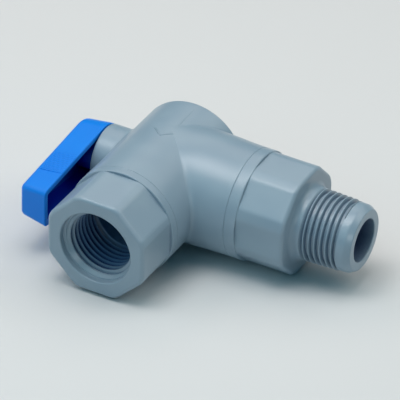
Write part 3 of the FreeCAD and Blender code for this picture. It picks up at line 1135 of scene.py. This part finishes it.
def buildLever(values):
    mesh = bmesh.new()
    outer, rim = values["outer"], values["rim"]
    guide = [math.atan2(point.y, point.x) for point in leverOutline(values, outer, 1.0)]

    def circle(radius):
        return [Vector((radius * math.cos(turn), radius * math.sin(turn))) for turn in guide]

    def square(half):
        return [
            Vector((math.cos(turn), math.sin(turn))) * half / max(abs(math.cos(turn)), abs(math.sin(turn)))
            for turn in guide
        ]

    def between(first, second, share):
        return [a.lerp(b, share) for a, b in zip(first, second)]

    edge, soft, wall = values["outerEdge"], values["rimEdge"], values["wall"]
    small = values["smallEdge"]
    middle = small * 0.3  # how far a small rounding's middle lies from its corner
    roof = outer - values["roof"]
    floor = outer - values["recessDepth"]
    sink = values["holeSink"]
    hole, socket = circle(values["holeRadius"]), square(values["socketHalf"])
    hub, hubEnd, socketEnd = values["hubRadius"], values["hubEnd"], values["socketEnd"]
    loops = [(floor + sink, hole), (socketEnd, hole), (socketEnd, socket), (hubEnd, socket)]
    loops += [(hubEnd, circle(hub - small)), (hubEnd + middle, circle(hub - middle))]
    loops += [(hubEnd + small, circle(hub)), (roof - small, circle(hub)), (roof, circle(hub + small))]
    ceiling = leverOutline(values, roof, wall + small)
    loops += [(roof, between(circle(hub + small + hold), ceiling, 0.5)), (roof, ceiling)]
    loops += [(roof - middle, leverOutline(values, roof - middle, wall + middle))]
    loops += [
        (along, leverOutline(values, along, wall))
        for along in (roof - small, roof - 3, rim + soft + hold)
    ]
    loops += [
        (rim + soft - up, leverOutline(values, rim + soft - up, wall - soft + across))
        for across, up in arc(soft, 0, 90, 5)
    ]
    loops += [
        (rim + soft - up, leverOutline(values, rim + soft - up, soft - across))
        for across, up in arc(soft, 90, 0, 5)
    ]
    loops += [
        (along, leverOutline(values, along, 0))
        for along in (rim + soft + hold, rim + 3, outer - edge - hold)
    ]
    loops += [
        (outer - edge + up, leverOutline(values, outer, edge - across - (edge - up) * values["edgeLean"]))
        for across, up in arc(edge, 0, 90, 8)
    ]
    face = leverOutline(values, outer, edge + 0.25)
    recess = values["recessRadius"]
    loops += [(outer, face), (outer, between(face, circle(recess + 0.5), 0.5))]
    loops += [(outer, circle(recess + small + hold)), (outer, circle(recess + small))]
    loops += [(outer - middle, circle(recess + middle)), (outer - small, circle(recess))]
    loops += [(floor + up, circle(recess - inward)) for up, inward in values["recessEdge"]]
    loops += [(floor, circle(values["holeRadius"] + 0.1)), (floor + sink, hole)]
    joinRings(mesh, [ringAt(mesh, toStem, [(along, *point) for point in points]) for along, points in loops])
    addLeverStop(mesh, values)
    finishPiece("lever", mesh, "blue_plastic", "rotor", ["handle"])


def addLeverStop(mesh, values):
    # block between the hub and the head's wall, opposite the arm, sunk a little into both and the roof
    sink = values["stopSink"]
    outer = values["headRadius"] + values["flare"] - values["wall"] + 2 * sink
    heights = (values["outer"] - values["roof"] + sink, values["stopEnd"])
    addSector(mesh, toStem, (values["hubRadius"] - sink, outer), heights, 180, values["stopWidth"])


buildLever(lever)


# Grip ribs across the lever's long walls

def buildRibTree():
    tree, given, result = newGroup("grip ribs", "GeometryNodeTree", {
        "Count": ("Int", 10),
        "Spacing": ("Float", 1.0),
        "Length": ("Float", 6.0),
        "Rib Width": ("Float", 0.3),
        "Rib Height": ("Float", 0.1),
        "Taper Share": ("Float", 0.07),
        "End Scale": ("Float", 0.2),
        "Material": ("Material", None),
    }, {"Geometry": "Geometry"})
    take = given.outputs
    step = addNode(tree, "ShaderNodeCombineXYZ", {0: take["Spacing"]}).outputs[0]
    places = addNode(tree, "GeometryNodeMeshLine", {"Count": take["Count"], "Offset": step})
    half = calc(tree, "MULTIPLY", take["Length"], 0.5)
    lineStart = addNode(tree, "ShaderNodeCombineXYZ", {1: calc(tree, "MULTIPLY", half, -1.0)}).outputs[0]
    lineEnd = addNode(tree, "ShaderNodeCombineXYZ", {1: half}).outputs[0]
    line = addNode(tree, "GeometryNodeCurvePrimitiveLine", {"Start": lineStart, "End": lineEnd})
    dense = addNode(tree, "GeometryNodeResampleCurve", {"Curve": line.outputs[0], "Count": 25})
    # a rib thins out at both ends
    share = addNode(tree, "GeometryNodeSplineParameter").outputs["Factor"]
    fromEnd = calc(tree, "SUBTRACT", 0.5, calc(tree, "ABSOLUTE", calc(tree, "SUBTRACT", share, 0.5)))
    taper = remap(tree, fromEnd, (0.0, take["Taper Share"]), (take["End Scale"], 1.0), "SMOOTHSTEP")
    section = addNode(tree, "GeometryNodeCurvePrimitiveCircle", {"Resolution": 12, "Radius": 1.0})
    squashed = addNode(tree, "ShaderNodeCombineXYZ", {
        0: calc(tree, "MULTIPLY", take["Rib Width"], 0.5), 1: take["Rib Height"], 2: 1.0,
    }).outputs[0]
    shaped = addNode(tree, "GeometryNodeTransform", {"Geometry": section.outputs[0], "Scale": squashed})
    rib = addNode(tree, "GeometryNodeCurveToMesh", {
        "Curve": dense.outputs[0], "Profile Curve": shaped.outputs[0], "Scale": taper, "Fill Caps": True,
    })
    spread = addNode(tree, "GeometryNodeInstanceOnPoints", {
        "Points": places.outputs[0], "Instance": rib.outputs[0],
    })
    return endTree(tree, result, spread.outputs[0], take["Material"])


gripRibs = {
    "first": 14.4,
    "count": 10,
    "spacing": 0.86,
    "length": 7.6,
    "width": 0.34,
    "height": 0.07,
    "lastHeight": 0.2,
    "taperShare": 0.07,
    "endScale": 0.2,
    "alongMiddle": 25.1,
}


def buildGripRibs(values, lever):
    tree = buildRibTree()
    mesh = bmesh.new()
    band = 2  # the wall is measured this far on either side of the ribs' middle
    wall = lever["counts"]["side"]
    for side in (1, -1):
        low = leverOutline(lever, values["alongMiddle"] - band, 0)
        high = leverOutline(lever, values["alongMiddle"] + band, 0)
        foot, end, top = (
            Vector((values["alongMiddle"] + up, point.x, point.y * side))
            for up, point in ((-band, low[0]), (-band, low[wall]), (band, high[0]))
        )
        forward = (end - foot).normalized()
        rise = top - foot
        rise = (rise - forward * rise.dot(forward)).normalized()
        normal = forward.cross(rise)
        if normal.z * side < 0:
            normal.negate()
        last = (1, values["count"], values["lastHeight"])
        for count, first, height in ((values["count"], 0, values["height"]), last):
            made = meshFromTree(tree, {
                "Count": count, "Spacing": values["spacing"], "Length": values["length"],
                "Rib Width": values["width"], "Rib Height": height, "Taper Share": values["taperShare"],
                "End Scale": values["endScale"], "Material": ribFinish,
            })
            start = foot + rise * band + forward * (values["first"] + first * values["spacing"])
            addMade(mesh, made, lambda x, y, z: toStem(*(start + forward * x + rise * y + normal * z)))
    piece = finishPiece("lever_grip_ribs", mesh, "blue_plastic", "rotor", [], 60)
    piece.data.materials[0] = ribFinish


buildGripRibs(gripRibs, lever)


# Camera, floor and light

cameraValues = {
    "turn": 27.61,  # degrees to the right of the inlet's axis
    "height": 34.77,
    "roll": 1.97,
    "distance": 1043.8,
    "sensor": 36.0,
    "lens": 328.86,
    "offCentre": (-0.077825, 0.06195),  # from the frame's centre to the ball's, right and up, in widths
}


def placeCamera(values, target):
    turn, height, roll = (math.radians(values[key]) for key in ("turn", "height", "roll"))
    right = Vector((math.cos(turn), math.sin(turn), 0))
    back = Vector((math.sin(turn) * math.cos(height), -math.cos(turn) * math.cos(height), math.sin(height)))
    up = back.cross(right)
    side = right * math.cos(roll) + up * math.sin(roll)
    top = up * math.cos(roll) - right * math.sin(roll)
    distance = values["distance"] * mm
    width = distance * values["sensor"] / values["lens"]
    place = target + back * distance
    place -= side * values["offCentre"][0] * width + top * values["offCentre"][1] * width
    data = bpy.data.cameras.new("camera")
    data.sensor_width = values["sensor"]
    data.lens = values["lens"]
    data.clip_start = 0.01
    data.clip_end = 20
    camera = bpy.data.objects.new("camera", data)
    scene.collection.objects.link(camera)
    matrix = Matrix((side, top, back)).transposed().to_4x4()
    matrix.translation = place
    camera.matrix_world = matrix
    scene.camera = camera


placeCamera(cameraValues, ballCentre)

stageValues = {
    "drop": 17.14,  # the plane that the body, the inlet's collar and the outlet's collar rest on
    "slopeX": 0.0285,
    "slopeY": -0.0238,
    "size": 3000.0,
    "floorColour": srgb(215, 216, 216),
    "floorRoughness": 0.9,
    "lampDistance": 700.0,
    "worldColour": (0.0, 0.68, 1.0, 1),
    "worldStrength": 0.14,
}


def buildFloor(values):
    half = values["size"] / 2
    corners = [(-half, -half), (half, -half), (half, half), (-half, half)]
    points = [
        ballCentre + Vector((x, y, x * values["slopeX"] + y * values["slopeY"] - values["drop"])) * mm
        for x, y in corners
    ]
    mesh = bpy.data.meshes.new("floor")
    mesh.from_pydata(points, [], [(0, 1, 2, 3)])
    floor = bpy.data.objects.new("floor", mesh)
    scene.collection.objects.link(floor)
    material = bpy.data.materials.new("floor paper")
    material.use_nodes = True
    tree = material.node_tree
    shader = tree.nodes["Principled BSDF"]
    shader.inputs["Base Color"].default_value = values["floorColour"]
    shader.inputs["Roughness"].default_value = values["floorRoughness"]
    # the paper can be seen through from below
    mix = addNode(tree, "ShaderNodeMixShader", {
        0: addNode(tree, "ShaderNodeNewGeometry").outputs["Backfacing"],
        1: shader.outputs[0],
        2: addNode(tree, "ShaderNodeBsdfTransparent").outputs[0],
    })
    feed(tree, tree.nodes["Material Output"].inputs["Surface"], mix.outputs[0])
    layOut(tree)
    mesh.materials.append(material)


# degrees round from the camera towards the right of the frame and degrees up, size in millimetres
softBoxes = {
    "topSoftBox": {"around": 0, "up": 89, "size": 400, "power": 1.95, "colour": (1.0, 0.96, 0.935)},
    "keySoftBox": {"around": 289, "up": 68, "size": 280, "power": 1.09, "colour": (1.0, 0.98, 0.97)},
    "leftSoftBox": {"around": 263, "up": 38, "size": 400, "power": 0.68, "colour": (1.0, 0.96, 0.95)},
    "frontLeftSoftBox": {"around": 315, "up": 45, "size": 400, "power": 0.55, "colour": (0.65, 0.92, 1.0)},
    "frontSoftBox": {"around": 335, "up": 30, "size": 400, "power": 0.16, "colour": (0.6, 0.9, 1.0)},
    "rightSoftBox": {"around": 90, "up": 45, "size": 400, "power": 1.1, "colour": (1.0, 0.95, 0.87)},
    "backRightSoftBox": {"around": 135, "up": 45, "size": 400, "power": 0.53, "colour": (1.0, 0.88, 0.8)},
    "backSoftBox": {"around": 185, "up": 48, "size": 400, "power": 0.52, "colour": (1.0, 0.78, 0.66)},
    "backLeftSoftBox": {"around": 228, "up": 42, "size": 400, "power": 0.6, "colour": (1.0, 0.76, 0.64)},
    "keyGlint": {"around": 272, "up": 64, "size": 160, "power": 0.25, "colour": (1.0, 1.0, 1.0)},
    "windowGlint": {"around": 215, "up": 62, "size": 300, "power": 0.05, "colour": (1.0, 1.0, 1.0)},
    "frontGlint": {"around": 15, "up": 25, "size": 160, "power": 0.5, "colour": (1.0, 1.0, 1.0)},
}


def addSoftBox(name, values):
    data = bpy.data.lights.new(name, "AREA")
    data.shape = "SQUARE"
    data.size = values["size"] * mm
    data.energy = values["power"]
    data.color = values["colour"]
    lamp = bpy.data.objects.new(name, data)
    scene.collection.objects.link(lamp)
    around = math.radians(cameraValues["turn"] - 90 + values["around"])
    rise = math.radians(values["up"])
    toward = Vector((math.cos(around) * math.cos(rise), math.sin(around) * math.cos(rise), math.sin(rise)))
    matrix = toward.to_track_quat("Z", "Y").to_matrix().to_4x4()
    matrix.translation = ballCentre + toward * stageValues["lampDistance"] * mm
    lamp.matrix_world = matrix
    lamp.visible_diffuse = "Glint" not in name  # those lamps only make highlights


def buildWorld(values):
    world = bpy.data.worlds.new("studio")
    world.use_nodes = True
    tree = world.node_tree
    ambient = tree.nodes["Background"]
    ambient.inputs["Color"].default_value = values["worldColour"]
    ambient.inputs["Strength"].default_value = values["worldStrength"]
    # past the floor the camera sees the floor's colour, not the light
    backdrop = addNode(tree, "ShaderNodeBackground", {"Color": values["floorColour"]})
    mix = addNode(tree, "ShaderNodeMixShader", {
        0: addNode(tree, "ShaderNodeLightPath").outputs["Is Camera Ray"],
        1: ambient.outputs[0],
        2: backdrop.outputs[0],
    })
    feed(tree, tree.nodes["World Output"].inputs["Surface"], mix.outputs[0])
    layOut(tree)
    scene.world = world


buildFloor(stageValues)
buildWorld(stageValues)
for name, values in softBoxes.items():
    addSoftBox(name, values)
scene.view_settings.view_transform = "Standard"
print("camera, floor and light set")
